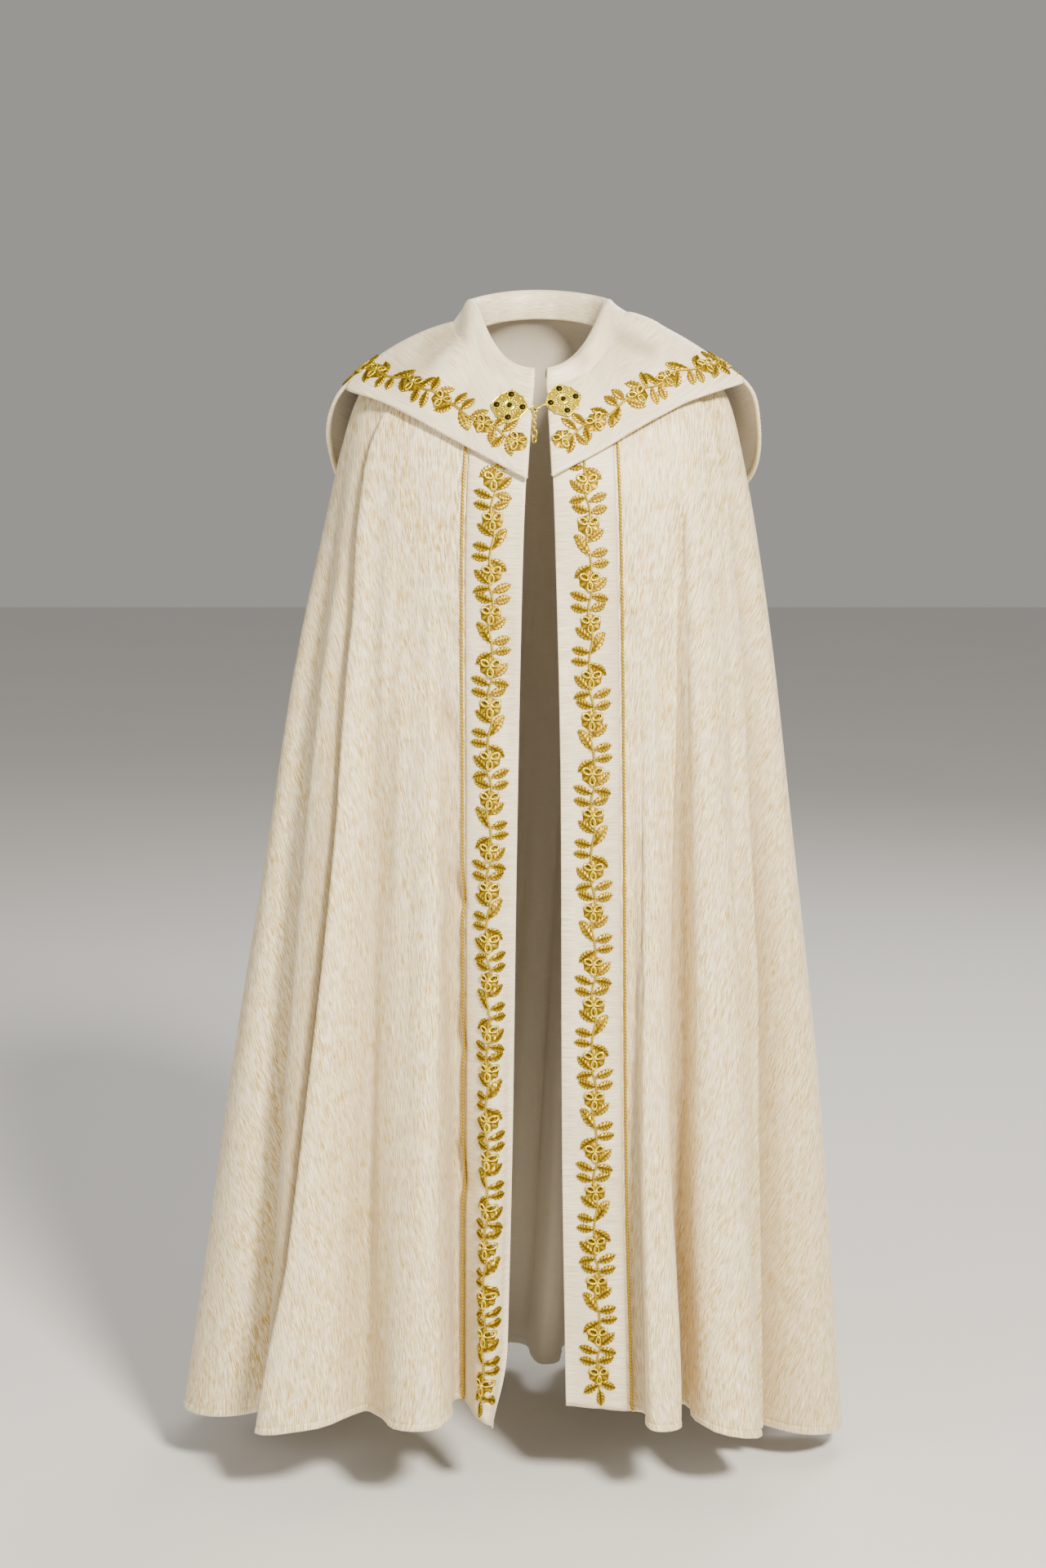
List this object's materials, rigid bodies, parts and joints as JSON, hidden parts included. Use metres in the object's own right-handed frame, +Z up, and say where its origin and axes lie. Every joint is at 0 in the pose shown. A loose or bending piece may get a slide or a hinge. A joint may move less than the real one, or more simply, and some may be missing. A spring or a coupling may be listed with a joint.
{
  "type": "cope vestment",
  "caption": "Floor-length open cope with a wide turned-down cape collar, front bands, corded edges and a hook-and-ring clasp.",
  "frame": {"origin": "middle of the neck opening at the height of the shoulders, where the wearer carries the cope", "axes": "+Z up, the open front towards -Y, +X to the wearer's left"},
  "size_m": [0.8332, 0.5365, 1.435],
  "materials": {
    "gold_flecked_ivory": "ivory cloth with gold flecks",
    "ivory_satin": "ivory satin",
    "gold_cord": "gold cord",
    "gilt_metal": "gilt"
  },
  "bodies": {
    "cope": {"body": "gold_flecked_ivory", "collar": "ivory_satin", "orphrey_left": "ivory_satin", "orphrey_right": "ivory_satin", "piping_left": "gold_cord", "piping_right": "gold_cord", "medallion_left": "gilt_metal", "medallion_right": "gilt_metal"},
    "drop_chain": {"chain_link_1": "gilt_metal", "chain_link_2": "gilt_metal", "chain_link_3": "gilt_metal", "chain_link_4": "gilt_metal", "chain_link_5": "gilt_metal", "chain_ring_1": "gilt_metal", "chain_ring_2": "gilt_metal"}
  },
  "joints": [
    {"name": "chain_swing", "type": "hinge", "parent": "cope", "child": "drop_chain", "pos_m": [-0.0034, -0.11975, -0.10628], "axis": [0.9902, -0.106, -0.091], "range_deg": [-70, 4]}
  ]
}
